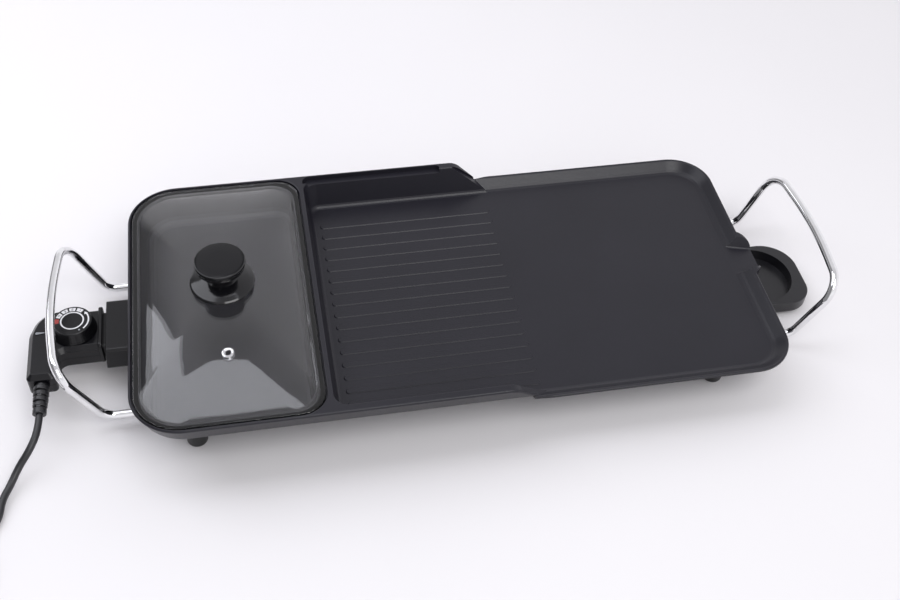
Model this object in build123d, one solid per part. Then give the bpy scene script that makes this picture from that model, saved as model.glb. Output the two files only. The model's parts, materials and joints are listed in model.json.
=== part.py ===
from build123d import *
import math
import os

# Electric table grill: a two-zone cast plate (hot pot on the left under a
# lift-off glass lid, griddle on the right), wire handles, feet, a plug-in
# thermostat controller with its lead, and a drip cup under the spout.
# Millimetres, +Z up, the table is z = 0.  All positions below are written
# about the plate's own centre; SHIFT_X moves everything so that the origin is
# the middle of the whole grill's footprint (controller and handles included).

# ----------------------------------------------------------------- driving dimensions
SHIFT_X = 12.5
PLATE_L = 600.0          # plate length over the rim
HIGH_D = 305.0           # plate depth over the high rim (left part)
LOW_D = 294.6            # plate depth over the low lip (right part)
RIM_Z = 75.0             # top of the high rim
LIP_Z = 55.0             # top of the low lip
SKIRT_Z = 57.0           # lower edge of the high rim's outer skirt
FLOOR_Z = 45.0           # cooking floor
UNDER_Z = 41.0           # underside of the floor
R_LEFT = 47.0            # plan corner radius, left end
R_RIGHT = 40.0           # plan corner radius, right end
SLOPE_X0, SLOPE_X1, SLOPE_R = 31.0, 54.0, 17.0   # fall of the rim from high to low

LEDGE_Z = 70.2           # ledge that carries the glass
POT_X0, POT_X1 = -296.9, -131.6                  # lid recess
POT_Y = 149.3
GRID_X0 = -127.0         # griddle well, left wall at the rim
RIB_N, RIB_PITCH, RIB_W, RIB_H = 16, 15.15, 7.2, 0.75
RIB_X0, RIB_X1 = -114.5, 61.0
RIB_Y_MID = -8.5

SPOUT_X = 311.0          # tip of the spout
SOCK_Z = 37.0            # height of the terminals, probe and heating element
PIN_Y = 13.0             # half spacing of the terminal pins
PIN_R = 2.5
ELEMENT_R = 3.5

GLASS_T = 4.0
GLASS_X0, GLASS_X1, GLASS_Y = -295.7, -132.8, 148.1
GLASS_RISE = 16.4
LID_X = (GLASS_X0 + GLASS_X1) / 2 + 2.0          # knob axis
VENT_Y = -81.5
KNOB_TOP = 119.3
KNOB_R = 23.0
KNOB_FLANGE_R = 29.5

WIRE_R = 4.0             # handle wire radius
WIRE_Y = 79.0            # half width of a handle at its fixed ends
WIRE_Z0 = 15.8           # height of the handle's fixed ends
GRIP_X, GRIP_Y, GRIP_Z = 357.3, 83.0, 82.0   # corner of the grip
GRIP_BOW = 9.2           # the grip bows outwards between its corners
BEND_X = 326.0
HANDLE_IN = {-1: -1.6, 1: 1.05}   # each wire sits this much nearer the plate than drawn

FOOT_X_L, FOOT_X_R, FOOT_Y = -249.0, 237.6, 106.5
FOOT_R = 9.3

CUP_X1 = 366.2
CUP_X0 = 262.0
CUP_HALF = 41.4
CUP_Z0, CUP_Z1 = 3.5, 18.0
WELL_X, WELL_R, WELL_Z = 318.5, 36.6, 7.5

GUARD_X0, GUARD_X1 = -325.5, -292.0
GUARD_HALF, GUARD_Z0, GUARD_Z1 = 31.6, 23.6, 49.5
GUARD_LEAN = 2.5         # the guard's mouth leans in by this much at the top
GUARD_SCREW_Z = 40.6

CTRL_TOP, CTRL_BOT, CTRL_SPLIT = 48.6, 25.6, 36.4
CTRL_LEFT = -392.0
CTRL_RIGHT = -330.0
CTRL_BEVEL = 4.2         # bevel round the top of the housing
DIAL_X, DIAL_Y = -351.0, 0.0
DIAL_Z0, DIAL_Z1 = 49.0, 60.6
DIAL_R0, DIAL_R1 = 20.6, 17.4

CORD_R = 3.25
RELIEF_X, RELIEF_Y0, RELIEF_Z = -380.0, -53.2, 37.2
RELIEF_L, RELIEF_DROOP, RELIEF_YAW = 28.8, 11.0, 4.0

COIL_X, COIL_Y = -468.0, -206.0
COIL_RIN, COIL_ROUT, COIL_H = 29.6, 42.8, 19.5
PLUG_X = -505.0

os.makedirs("parts", exist_ok=True)


# ----------------------------------------------------------------- helpers
def rrect(x0, x1, y0, y1, z, rl, rr):
    """Rounded rectangle face at height z, with its own radius at each end."""
    s = Pos((x0 + x1) / 2, (y0 + y1) / 2, z) * Rectangle(x1 - x0, y1 - y0)
    mid = (x0 + x1) / 2
    s = fillet([v for v in s.vertices() if v.X < mid], rl)
    s = fillet([v for v in s.vertices() if abs(v.X - x1) < 1e-6], rr)
    return s.face()


def draft(f0, f1):
    return loft([f0, f1], ruled=True)


def block(x0, x1, y0, y1, z0, z1):
    return Pos((x0 + x1) / 2, (y0 + y1) / 2, (z0 + z1) / 2) * Box(x1 - x0, y1 - y0, z1 - z0)


def cyl(x, y, z0, z1, r):
    return Pos(x, y, (z0 + z1) / 2) * Cylinder(r, z1 - z0)


def cylx(x0, x1, y, z, r):
    return Pos((x0 + x1) / 2, y, z) * Rot(0, 90, 0) * Cylinder(r, x1 - x0)


def cyly(y0, y1, x, z, r):
    return Pos(x, (y0 + y1) / 2, z) * Rot(90, 0, 0) * Cylinder(r, y1 - y0)


def cone_z(x, y, z0, z1, r0, r1):
    return Pos(x, y, (z0 + z1) / 2) * Cone(r0, r1, z1 - z0)


def prism_xz(points, y0, y1):
    """Straight prism along Y of a closed profile given as (x, z) points."""
    w = Wire.make_polygon([(x, y0, z) for x, z in points], close=True)
    return extrude(Face(w), amount=y1 - y0, dir=(0, 1, 0))


def prism_xy(points, z0, z1):
    w = Wire.make_polygon([(x, y, z0) for x, y in points], close=True)
    return extrude(Face(w), amount=z1 - z0, dir=(0, 0, 1))


def spin(profile, x, y):
    """Solid of revolution about the vertical axis at x, y of (r, z) points."""
    w = Wire.make_polygon([(r, 0, z) for r, z in profile], close=True)
    return Pos(x, y, 0) * revolve(Face(w), Axis.Z, 360)


def tube(path, r):
    """Round bar of radius r along a path of runs and tangent arcs."""
    pl = Plane(origin=path @ 0, z_dir=path % 0)
    return sweep(pl * Circle(r), path=path)


def softened(solid, edges, radii):
    """Round the edges with the first radius of the list that holds."""
    for r in radii:
        try:
            s = fillet(edges, r)
            if s.is_valid and s.volume > 0:
                return s
        except Exception:
            pass
    print("not rounded", radii, len(edges))
    return solid


def solids_of(items):
    out = []
    for it in items:
        out += list(it.solids())
    return out


def save(name, *items):
    group = solids_of(items)
    moved = [Pos(SHIFT_X, 0, 0) * s for s in group]
    shape = moved[0] if len(moved) == 1 else Compound(children=moved)
    export_step(shape, f"parts/{name}.step")
    print(f"{name:22s} {len(group):2d} solid  {sum(s.volume for s in group):12.1f} mm3")


def mirror_x(s):
    return mirror(s, Plane.YZ)


def mirror_y(s):
    return mirror(s, Plane.XZ)


# ================================================================= grill plate
H2, L2 = HIGH_D / 2, LOW_D / 2


def crown_steps(r):
    """Rise and inset of a rounded edge or foot of radius r, in four straight steps."""
    return [(r * math.sin(math.radians(a)), r * (1 - math.cos(math.radians(a)))) for a in (0, 30, 60, 90)]


def stack(sections):
    """Ruled solid through a list of (x0, x1, half depth, z, left radius, right radius)."""
    out = None
    for q0, q1 in zip(sections, sections[1:]):
        part = draft(rrect(q0[0], q0[1], -q0[2], q0[2], q0[3], q0[4], q0[5]), rrect(q1[0], q1[1], -q1[2], q1[2], q1[3], q1[4], q1[5]))
        out = part if out is None else out + part
    return out


def opening_stack(lo, hi, foot_r, lip_r):
    """Cutter for a well: lo and hi are (x0, x1, half depth, z, left r, right r); the foot is
    filleted and the mouth is rolled over by the given radii."""
    x0, x1, hd, z, rl, rr = lo
    X0, X1, HD, Z, RL, RR = hi
    secs = []
    for rise, inset in reversed(crown_steps(foot_r)):
        # the foot curves from the flat floor up into the wall
        k = foot_r - rise
        secs.append((rise, inset))
    foot = [(foot_r - r, foot_r - (foot_r - i)) for r, i in secs]
    out = []
    for dz, ins in [(foot_r * (1 - math.cos(math.radians(a))), foot_r * (1 - math.sin(math.radians(a)))) for a in (0, 30, 60, 90)]:
        t = dz / (Z - z)
        out.append((x0 + (X0 - x0) * t + ins, x1 + (X1 - x1) * t - ins, hd + (HD - hd) * t - ins, z + dz,
                    max(rl + (RL - rl) * t - ins, 2.0), max(rr + (RR - rr) * t - ins, 2.0)))
    for dz, off in crown_steps(lip_r):
        zz = Z - lip_r + dz
        t = (zz - z) / (Z - z)
        out.append((x0 + (X0 - x0) * t - off, x1 + (X1 - x1) * t + off, hd + (HD - hd) * t + off, zz, rl + (RL - rl) * t + off,
                    rr + (RR - rr) * t + off))
    return out


# outer shape: shallow dish below, drafted skirt above
dish = (-279, 286, 131, UNDER_Z, 32, 30)
hip = (-293.7, 297.2, 146.2, SKIRT_Z, 43, 38)
rim = (-300, 300, H2, RIM_Z, R_LEFT, R_RIGHT + 2)
outer = stack([dish, hip, rim])

# the rim falls from the high part to the low part along an S curve
s_line = FilletPolyline((-20, 0, RIM_Z), (SLOPE_X0, 0, RIM_Z), (SLOPE_X1, 0, LIP_Z), (330, 0, LIP_Z), radius=SLOPE_R)
s_close = Polyline((330, 0, LIP_Z), (330, 0, 95), (-20, 0, 95), (-20, 0, RIM_Z))
s_face = Face(Wire(list(s_line.edges()) + list(s_close.edges())))
outer -= Pos(0, -180, 0) * extrude(s_face, amount=360, dir=(0, 1, 0))


def rim_edges(shape, z_floor):
    """Edges round the outside of the top: the rim, its fall and the low lip."""
    out = []
    for e in shape.edges():
        c, bb = e.center(), e.bounding_box()
        dx, dy, dz = bb.max.X - bb.min.X, bb.max.Y - bb.min.Y, bb.max.Z - bb.min.Z
        outside = abs(c.Y) > 140 or c.X < -285 or c.X > 290 or (abs(c.Y) > 120 and (c.X < -270 or c.X > 270))
        if bb.min.Z > z_floor and outside and not (dz > 8 and dx < 8):
            out.append(e)
    return out


def roll(shape, edges, radii, label):
    if not edges:
        print("no edge for", label)
        return shape
    for r in radii:
        try:
            got = shape.fillet(r, edges)
            if got.is_valid and got.volume > 0:
                print(f"rounded {label}: {len(edges)} edges at {r}")
                return got
        except Exception:
            pass
    print("not rounded:", label, len(edges))
    return shape


outer = roll(outer, rim_edges(outer, LIP_Z - 0.3), [1.8, 1.4, 1.0, 0.7], "rim outside")

# low tray: walls flared out to a thin lip with a rolled edge
tray_low = stack([(-100, 286, 131, UNDER_Z, 20, 30), (-100, 299.4, L2 - 0.6, LIP_Z - 3.4, 20, R_RIGHT - 0.6),
                  (-100, 300, L2, LIP_Z - 2.6, 20, R_RIGHT), (-100, 300, L2, LIP_Z - 1.1, 20, R_RIGHT),
                  (-100, 299.8, L2 - 0.2, LIP_Z - 0.5, 20, R_RIGHT - 0.2), (-100, 299.3, L2 - 0.7, LIP_Z - 0.1, 20, R_RIGHT - 0.7),
                  (-100, 298.9, L2 - 1.1, LIP_Z, 20, R_RIGHT - 1.1)])
tray_low &= prism_xy([(50, -144.5), (62, -146.2), (76, -149), (320, -149), (320, 149), (76, 149), (62, 146.2), (50, 144.5)],
                     UNDER_Z - 1, LIP_Z + 1)
outer += tray_low

# spout: two horns that drop to a lip at the height of the floor
def xz(*pts):
    return [(x, -40, z) for x, z in pts]


def xy(*pts):
    return [(x, y, 38) for x, y in pts]


s_bot = Polyline(*xz((300.0, LIP_Z), (280, LIP_Z), (280, UNDER_Z), (305, UNDER_Z + 0.2), (SPOUT_X - 1.2, UNDER_Z + 1.2), (SPOUT_X, UNDER_Z + 2.6), (SPOUT_X, 46.4)))
s_top = ThreePointArc(*xz((SPOUT_X, 46.4), (308.2, 52.2), (300.0, LIP_Z)))
side_face = Face(Wire(list(s_bot.edges()) + list(s_top.edges())))
p_left = Spline(*xy((293, 32.8), (299.6, 29.0), (305.2, 23.4), (311.6, 14.6)), tangents=[(1, -0.12), (0.62, -1)])
p_right = Spline(*xy((311.6, -14.6), (305.2, -23.4), (299.6, -29.0), (293, -32.8)), tangents=[(-0.62, -1), (-1, -0.12)])
p_tip = Line(*xy((311.6, 14.6), (311.6, -14.6)))
p_back = Polyline(*xy((293, -32.8), (280, -34), (280, 34), (293, 32.8)))
plan_face = Face(Wire(list(p_left.edges()) + list(p_tip.edges()) + list(p_right.edges()) + list(p_back.edges())))
spout = extrude(side_face, amount=80, dir=(0, 1, 0)) & extrude(plan_face, amount=20, dir=(0, 0, 1))
spout = spout.solids().sort_by(SortBy.VOLUME)[-1]
horn = [e for e in spout.edges() if e.center().X > 295 and e.center().Z > 44 and abs(e.center().Y) > 5
        and e.bounding_box().max.Z > 54.5]
spout = roll(spout, horn, [2.2, 1.6, 1.0], "spout horns")
outer += spout

# griddle well: steep walls along the high part, flared walls along the low part
well_high = stack(opening_stack((-121.5, 180, 134, FLOOR_Z, 10, 13), (GRID_X0, 186, 143.6, RIM_Z + 0.02, 13, 13), 3.2, 1.3))
well_low = stack(opening_stack((-60, 287.5, 134, FLOOR_Z, 13, 27), (-60, 297.6, 144.9, LIP_Z, 13, 36.5), 3.2, 1.0)
                 + [(-60, 298.6, 144.6, LIP_Z + 0.4, 13, 37.5), (-60, 298.6, 144.6, RIM_Z + 2, 13, 37.5)])
well_low &= prism_xz([(20.3, 80), (65.4, 44), (330, 44), (330, 80)], -170, 170)
well = well_high + well_low
# ledge along the back wall of the high part, with a round end
for sy in (1,):
    y0, y1 = (139.6, 149.2) if sy > 0 else (-149.2, -139.6)
    led = Pos((GRID_X0 + 14) / 2, (y0 + y1) / 2, LEDGE_Z) * Rectangle(14 - GRID_X0, y1 - y0)
    led = fillet([v for v in led.vertices() if v.X > 0], 4.2)
    led = fillet([v for v in led.vertices() if v.X < GRID_X0 + 0.01 and abs(v.Y) > 145], 7.0)
    slot = extrude(led, amount=12)
    well += slot
outer -= well
# channel of the spout
ch0 = Face(Wire.make_polygon([(283, -19.5, FLOOR_Z), (283, 19.5, FLOOR_Z), (283, 27.5, 57.5), (283, -27.5, 57.5)]))
ch1 = Face(Wire.make_polygon([(313, -12.3, FLOOR_Z - 1.0), (313, 12.3, FLOOR_Z - 1.0), (313, 19.5, 57.5), (313, -19.5, 57.5)]))
channel = loft([ch0, ch1], ruled=True)
channel = softened(channel, [e for e in channel.edges() if e.center().Z < FLOOR_Z + 0.1 and abs(e.center().Y) > 10], [2.5, 1.5])
outer -= channel

# pot well with the ledge for the lid
outer -= stack([(POT_X0, POT_X1, POT_Y, LEDGE_Z, 43.5, 24), (POT_X0, POT_X1, POT_Y, RIM_Z - 0.9, 43.5, 24),
                (POT_X0 - 0.2, POT_X1 + 0.2, POT_Y + 0.2, RIM_Z - 0.4, 43.7, 24.2), (POT_X0 - 0.9, POT_X1 + 0.9, POT_Y + 0.9, RIM_Z, 44.4, 24.9),
                (POT_X0 - 0.9, POT_X1 + 0.9, POT_Y + 0.9, RIM_Z + 4, 44.4, 24.9)])
outer -= stack(opening_stack((-281.3, -142.6, 130.5, FLOOR_Z, 27, 17), (-289.6, -138.6, 142.2, LEDGE_Z + 0.02, 36, 20), 6.0, 1.4))

plate = outer
# ribs of the griddle: low and round topped
ribs = []
for i in range(RIB_N):
    y = RIB_Y_MID + (i - (RIB_N - 1) / 2) * RIB_PITCH
    r = SlotOverall(RIB_X1 - RIB_X0, RIB_W)
    rib = Pos((RIB_X0 + RIB_X1) / 2, y, FLOOR_Z - 0.3) * extrude(r, amount=RIB_H + 0.3, taper=45)
    ribs.append(rib)

# underside: bead round the element, lugs for the handles, foot posts, bosses
el_pts = [(-292, -PIN_Y), (-262, -PIN_Y), (-228, -80), (250, -80), (250, 80), (-228, 80), (-262, PIN_Y), (-292, PIN_Y)]
el_path = FilletPolyline(*[(x, y, SOCK_Z) for x, y in el_pts], radius=[18, 18, 40, 40, 18, 18])
pl0 = Plane(origin=el_path @ 0, x_dir=(0, 1, 0), z_dir=el_path % 0)
bead_section = fillet(Rectangle(15, 11).vertices(), 3.0)
bead = sweep(pl0 * bead_section, path=el_path)
plate += bead
plate += block(-292, -262, -24, 24, 29.5, 43)
plate += block(-292, -284.5, -24, 24, 42, 49.3)
plate += block(-266, -236, -7.5, 7.5, 31.0, 42)
for sx in (-1, 1):
    for sy in (-1, 1):
        x0, x1 = sorted((sx * 257, sx * 283))
        y0, y1 = sorted((sy * (WIRE_Y - 13.5), sy * (WIRE_Y + 13.5)))
        plate += block(x0, x1, y0, y1, WIRE_Z0, UNDER_Z + 2)
        plate -= cylx(x0 - 1, x1 + 1, sy * WIRE_Y, WIRE_Z0, WIRE_R)
for fx in (FOOT_X_L, FOOT_X_R):
    for sy in (-1, 1):
        plate += cyl(fx, sy * FOOT_Y, 24, UNDER_Z + 2, 5.0)
        plate -= cyl(fx, sy * FOOT_Y, 23, 38, 2.0)
for bx in (269.0, 281.0):
    for sy in (-1, 1):
        plate += cyl(bx, sy * 48.5, 37, UNDER_Z + 2, 5.0)
        plate -= cyl(bx, sy * 48.5, 36, 43, 1.6)
for sx in (-1, 1):
    for sy in (-1, 1):
        for dy in (-9.3, 9.3):
            plate -= cyl(sx * 270, sy * WIRE_Y + dy, WIRE_Z0 - 1, WIRE_Z0 + 14, 1.7)
plate -= tube(el_path, ELEMENT_R)
plate -= cylx(-293, -240, 0, SOCK_Z, 3.08)
for sy in (-1, 1):
    plate -= cylx(-293, -280, sy * 19.6, GUARD_SCREW_Z, 1.7)
for r in ribs:
    plate += r
plate = plate.solids().sort_by(SortBy.VOLUME)[-1]
save("grill_plate", plate)

# ================================================================= heating element
element = tube(el_path, ELEMENT_R)
save("heating_element", element)
save("terminal_seals", *[cylx(-296, -292, sy * PIN_Y, SOCK_Z, 3.5) - cylx(-297, -291, sy * PIN_Y, SOCK_Z, PIN_R) for sy in (-1, 1)])
pins = []
for sy in (-1, 1):
    p = cylx(-315.0, -292, sy * PIN_Y, SOCK_Z, PIN_R)
    p = softened(p, [e for e in p.edges() if e.center().X < -314], [1.2])
    pins.append(p)
save("terminal_pins", *pins)

# ================================================================= socket guard
g = prism_xz([(GUARD_X0, GUARD_Z0), (GUARD_X1, GUARD_Z0), (GUARD_X1, GUARD_Z1), (GUARD_X0 + GUARD_LEAN, GUARD_Z1)], -GUARD_HALF, GUARD_HALF)
g = softened(g, g.edges().filter_by(Axis.X), [3.4, 2.0])
g = softened(g, [e for e in g.edges() if e.center().X < GUARD_X0 + GUARD_LEAN + 0.3 and e.bounding_box().max.X < -320], [0.9, 0.6])
cav = block(GUARD_X0 - 1, -296, -24.6, 24.6, 27.0, 46.6)
cav = softened(cav, cav.edges().filter_by(Axis.X), [3.0])
g -= cav
for sy in (-1, 1):
    g -= cylx(-297, -291, sy * PIN_Y, SOCK_Z, 3.6)
    g -= cylx(-297, -291, sy * 19.6, GUARD_SCREW_Z, 1.9)
g -= cylx(-297, -291, 0, SOCK_Z, 3.6)
save("socket_guard", g)
save("guard_screws", *[cylx(-298.2, -296.0, sy * 19.6, GUARD_SCREW_Z, 3.0) + cylx(-296.0, -281.0, sy * 19.6, GUARD_SCREW_Z, 1.6)
                       for sy in (-1, 1)])

# ================================================================= wire handles
def handle(s):
    bx, gx = BEND_X - HANDLE_IN[s], GRIP_X - HANDLE_IN[s]
    pts = [(s * 256, WIRE_Y, WIRE_Z0), (s * bx, WIRE_Y, WIRE_Z0), (s * gx, GRIP_Y, GRIP_Z), (s * (gx + GRIP_BOW), 0, GRIP_Z),
           (s * gx, -GRIP_Y, GRIP_Z), (s * bx, -WIRE_Y, WIRE_Z0), (s * 256, -WIRE_Y, WIRE_Z0)]
    path = FilletPolyline(*pts, radius=[16, 23, 400, 23, 16])
    h = tube(path, WIRE_R)
    print("handle", s, "reaches", round(max(abs(h.bounding_box().min.X), abs(h.bounding_box().max.X)), 3))
    return h

save("handle_left", handle(-1))
save("handle_right", handle(1))
clamps, cscrews = [], []
for sx in (-1, 1):
    for sy in (-1, 1):
        y = sy * WIRE_Y
        c = block(sx * 270 - 8, sx * 270 + 8, y - 13.2, y + 13.2, WIRE_Z0 - 5.4, WIRE_Z0 - 0.02)
        c = softened(c, c.edges().filter_by(Axis.Z), [3.0])
        c = softened(c, [e for e in c.edges() if e.center().Z < WIRE_Z0 - 5.39], [1.0])
        c -= cylx(sx * 270 - 9, sx * 270 + 9, y, WIRE_Z0, WIRE_R)
        for dy in (-9.3, 9.3):
            c -= cyl(sx * 270, y + dy, WIRE_Z0 - 6, WIRE_Z0 + 1, 1.9)
            h = cyl(sx * 270, y + dy, WIRE_Z0 - 7.8, WIRE_Z0 - 5.4, 3.4)
            h = softened(h, [e for e in h.edges() if e.center().Z < WIRE_Z0 - 7.79], [0.9])
            h -= block(sx * 270 - 0.5, sx * 270 + 0.5, y + dy - 3.6, y + dy + 3.6, WIRE_Z0 - 8, WIRE_Z0 - 6.8)
            cscrews.append(h + cyl(sx * 270, y + dy, WIRE_Z0 - 5.4, WIRE_Z0 + 13.5, 1.65))
        clamps.append(c)
save("handle_clamps", *clamps)
save("clamp_screws", *cscrews)

# ================================================================= feet
feet, pads, fscrews = [], [], []
for fx in (FOOT_X_L, FOOT_X_R):
    for sy in (-1, 1):
        y = sy * FOOT_Y
        f = cone_z(fx, y, 1.0, UNDER_Z, FOOT_R, FOOT_R + 0.9)
        f = softened(f, [e for e in f.edges() if e.center().Z < 1.01], [2.6, 2.0])
        f -= cyl(fx, y, 24 - 0.0, UNDER_Z + 1, 5.05)
        f -= cyl(fx, y, 17, 25, 2.3)
        f -= cyl(fx, y, 0, 18, 4.6)
        f -= cyl(fx, y, 0, 3.0, 6.4)
        feet.append(f)
        p = cyl(fx, y, 0.0, 3.0, 6.35)
        p = softened(p, [e for e in p.edges() if e.center().Z < 0.01], [0.6])
        p += cyl(fx, y, 3.0, 5.0, 4.5)
        pads.append(p)
        s = cyl(fx, y, 15.4, 18.0, 3.8)
        s -= block(fx - 0.5, fx + 0.5, y - 4, y + 4, 15.0, 16.6)
        s += cyl(fx, y, 18.0, 37.0, 1.95)
        fscrews.append(s)
save("feet", *feet)
save("foot_pads", *pads)
save("foot_screws", *fscrews)

# ================================================================= glass lid
gx0, gx1, gy = GLASS_X0, GLASS_X1, GLASS_Y
base_z = LEDGE_Z
top_z = base_z + GLASS_T
gmx = (gx0 + gx1) / 2
hw, hl = (gx1 - gx0) / 2, gy

def lid_section(ix, iy, z, rl, rr):
    return rrect(gx0 + ix, gx1 - ix, -gy + iy, gy - iy, z, rl, rr)

def crown(t):
    """Height of the dome over its foot, t from 0 (foot) to 1 (middle)."""
    return GLASS_RISE * (1 - (1 - t) ** 2.0)

def dome(dz, foot):
    secs = []
    for t in (0.0, 0.1, 0.25, 0.42, 0.6, 0.78, 0.93):
        ix = foot + (hw - foot - 2.0) * t
        iy = foot + (hl - foot - 4.0) * (t ** 1.12)
        w, h = 2 * (hw - ix), 2 * (hl - iy)
        r = min(w, h) / 2
        k = 0.44 + 0.5 * t
        rl = min(max(41.5 - ix, 0.0) * 0.0 + r * min(k + 0.05, 0.94), r * 0.94)
        rr = r * min(0.30 + 0.64 * t, 0.94)
        secs.append(lid_section(ix, iy, dz + crown(t), rl, rr))
    return loft(secs)

rim_slab = extrude(lid_section(0, 0, base_z, 41.5, 22.5), amount=GLASS_T)
rim_slab = softened(rim_slab, [e for e in rim_slab.edges() if abs(e.bounding_box().min.Z - e.bounding_box().max.Z) < 1e-3], [1.1, 0.8])
shell_out = dome(top_z - 0.01, 6.0)
shell_in = dome(base_z - 0.01, 8.5)
glass = rim_slab + shell_out - shell_in
glass -= cyl(LID_X, 0, 70, 100, 3.6)
print("glass solids", len(glass.solids()), "bbox", glass.bounding_box())
# height of the glass on the knob axis and at the vent, measured on the solid
def top_of(shape, x, y):
    probe = Pos(x, y, 90) * Box(0.4, 0.4, 60)
    c = shape & probe
    bb = c.bounding_box()
    return bb.min.Z, bb.max.Z

kb, kt = top_of(glass, LID_X + 5.0, 0)
v_near, v_far = top_of(glass, LID_X, VENT_Y - 5.0), top_of(glass, LID_X, VENT_Y + 5.0)
vb, vt = (v_near[0] + v_far[0]) / 2, (v_near[1] + v_far[1]) / 2
VTILT = math.degrees(math.atan((v_far[1] - v_near[1]) / 10.0))
print("glass at knob", round(kb, 2), round(kt, 2), "at vent", round(vb, 2), round(vt, 2), "tilt", round(VTILT, 2))
KT, KB = kt + 0.05, kb - 0.40
vent_at = Pos(LID_X, VENT_Y, vt) * Rot(VTILT, 0, 0)
glass -= vent_at * Cylinder(3.7, 20)
gl = glass.solids().sort_by(SortBy.VOLUME)[-1]
save("lid_glass", gl)

save("knob_gasket", spin([(3.8, KT), (11.5, KT), (11.5, KT + 0.9), (3.8, KT + 0.9)], LID_X, 0))
fz = KT + 0.9
flange = spin([(3.8, fz), (12.5, fz), (14.0, fz - 0.2), (28.6, fz - 0.2), (KNOB_FLANGE_R, fz + 0.5), (KNOB_FLANGE_R - 0.2, fz + 1.2),
               (28.0, fz + 2.2), (24.0, fz + 4.0), (19.0, fz + 5.8), (15.0, fz + 7.4), (12.6, fz + 9.0), (3.8, fz + 9.0)], LID_X, 0)
save("knob_flange", flange)
nz = fz + 9.0
kt_ = KNOB_TOP
knob = spin([(3.8, nz), (12.4, nz), (12.2, nz + 2.0), (13.0, nz + 4.2), (15.4, nz + 6.4), (19.2, nz + 8.6), (21.9, nz + 10.8),
             (22.7, kt_ - 4.2), (KNOB_R, kt_ - 2.6), (22.8, kt_ - 1.5), (22.2, kt_ - 0.7), (21.7, kt_ - 0.5), (21.5, kt_ - 0.8),
             (21.5, kt_ - 3.2), (7.0, kt_ - 3.2), (7.0, kt_ - 11.0), (3.8, kt_ - 11.0)], LID_X, 0)
save("knob_body", knob)
save("knob_cap", spin([(0, kt_ - 3.2), (21.3, kt_ - 3.2), (21.3, kt_ - 1.2), (20.9, kt_ - 0.7), (19.5, kt_ - 0.45), (12, kt_ - 0.1), (0, kt_)],
                      LID_X, 0))
kn_nut = spin([(3.2, kt_ - 10.95), (6.6, kt_ - 10.95), (6.6, kt_ - 5.4), (3.2, kt_ - 5.4)], LID_X, 0)
save("knob_nut", kn_nut)
washer = spin([(3.4, KB - 1.2), (9.0, KB - 1.2), (9.0, KB), (3.4, KB)], LID_X, 0)
save("knob_washer", washer)
ks = spin([(0, KB - 4.2), (4.6, KB - 4.2), (5.6, KB - 3.2), (5.6, KB - 1.2), (3.1, KB - 1.2), (3.1, kt_ - 5.6), (0, kt_ - 5.6)], LID_X, 0)
ks -= block(LID_X - 0.6, LID_X + 0.6, -6, 6, KB - 4.4, KB - 3.1)
save("knob_screw", ks)
VT, VB = 0.18, -(vt - vb) * math.cos(math.radians(VTILT)) - 0.45
eye = spin([(2.4, VB - 0.9), (5.0, VB - 0.9), (5.4, VB - 0.5), (5.0, VB), (3.5, VB), (3.5, VT), (4.9, VT), (5.5, VT + 0.35), (5.3, VT + 0.9),
            (4.2, VT + 1.25), (3.1, VT + 1.05), (2.4, VT + 0.5)], 0, 0)
save("vent_eyelet", vent_at * eye)

# ================================================================= drip cup and rails
cp = Pos((CUP_X0 + CUP_X1) / 2, 0, CUP_Z0) * Rectangle(CUP_X1 - CUP_X0, 2 * CUP_HALF)
cp = fillet([v for v in cp.vertices() if v.X > 300 and v.Y > 0], 33)
cp = fillet([v for v in cp.vertices() if v.X > 300 and v.Y < -40], 23)
cp = fillet([v for v in cp.vertices() if abs(v.X - CUP_X0) < 1e-6], 6)
cup = Pos(0, 0, 0) * extrude(Pos(0, 0, 0) * cp, amount=CUP_Z1 - CUP_Z0)
cup = softened(cup, [e for e in cup.edges() if abs(e.bounding_box().max.Z - CUP_Z0) < 1e-3], [3.0, 2.0])
cup = softened(cup, [e for e in cup.edges() if abs(e.bounding_box().min.Z - CUP_Z1) < 1e-3], [1.2, 0.8])
cup -= cone_z(WELL_X, 0, WELL_Z, CUP_Z1 + 0.01, WELL_R - 0.8, WELL_R)
for sy in (-1, 1):
    y0, y1 = sorted((sy * 38.6, sy * 45))
    cup -= block(CUP_X0 - 1, 317.5, y0, y1, 9.4, 12.6)
save("drip_cup", cup)
rails, rscrews = [], []
for sy in (-1, 1):
    def yb(a, b):
        return sorted((sy * a, sy * b))
    y0, y1 = yb(39.1, 44.0)
    r = block(262.5, 316.5, y0, y1, 10.0, 12.0)
    y0, y1 = yb(42.0, 44.0)
    r += block(262.5, 316.5, y0, y1, 10.0, 37.0)
    r -= prism_xz([(288.5, 38), (318, 38), (318, 20)], y0 - 1, y1 + 1)
    y0, y1 = yb(42.0, 54.5)
    r += block(262.5, 288.0, y0, y1, 35.2, 37.0)
    for bx in (269.0, 281.0):
        r -= cyl(bx, sy * 48.5, 34, 38, 1.9)
        h = cyl(bx, sy * 48.5, 33.0, 35.2, 3.0)
        rscrews.append(h + cyl(bx, sy * 48.5, 35.2, 42.6, 1.55))
    rails.append(r)
save("cup_rails", *rails)
save("rail_screws", *rscrews)

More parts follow.
